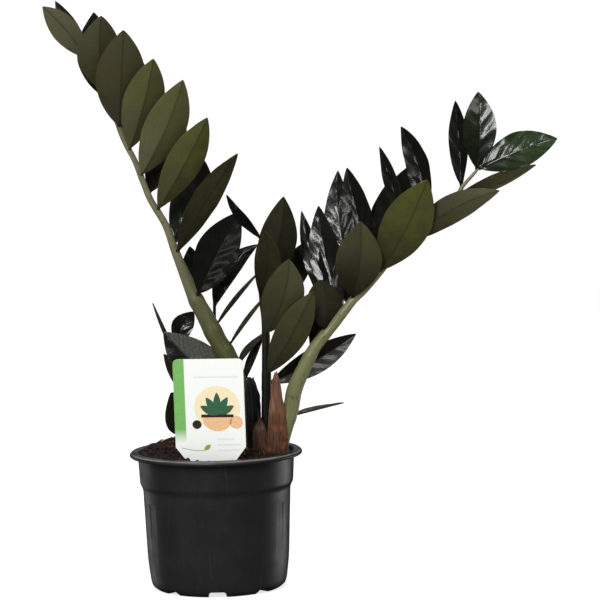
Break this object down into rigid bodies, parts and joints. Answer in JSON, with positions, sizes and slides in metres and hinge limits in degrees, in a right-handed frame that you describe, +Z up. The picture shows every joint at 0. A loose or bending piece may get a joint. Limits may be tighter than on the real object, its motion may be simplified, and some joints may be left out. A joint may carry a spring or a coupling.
{
  "type": "potted zz plant",
  "caption": "Dark-leaved zz plant with arching fronds of pointed leaflets, in a black plastic nursery pot with soil and a blank plant label.",
  "frame": {"origin": "middle of the flat disc under the pot, on the surface that the pot stands on", "axes": "+Z up along the pot's axis; -Y towards the front, where the plant label stands; +X to the right, towards the lower of the two long fronds"},
  "size_m": [0.3503, 0.12, 0.4094],
  "materials": {
    "pot_plastic": "satin",
    "peat": "matte",
    "label_plastic": "satin",
    "rhizome_skin": "matte",
    "leaf": "gloss",
    "dark_sheath": "matte",
    "brown_sheath": "matte"
  },
  "bodies": {
    "root": {"pot": "pot_plastic", "soil": "peat", "label": "label_plastic", "rhizome": "rhizome_skin", "frond_left": "leaf", "frond_middle": "leaf", "frond_right": "leaf", "frond_short": "leaf", "sheath_left": "dark_sheath", "sheath_middle": "brown_sheath", "sheath_right": "brown_sheath"}
  },
  "joints": []
}
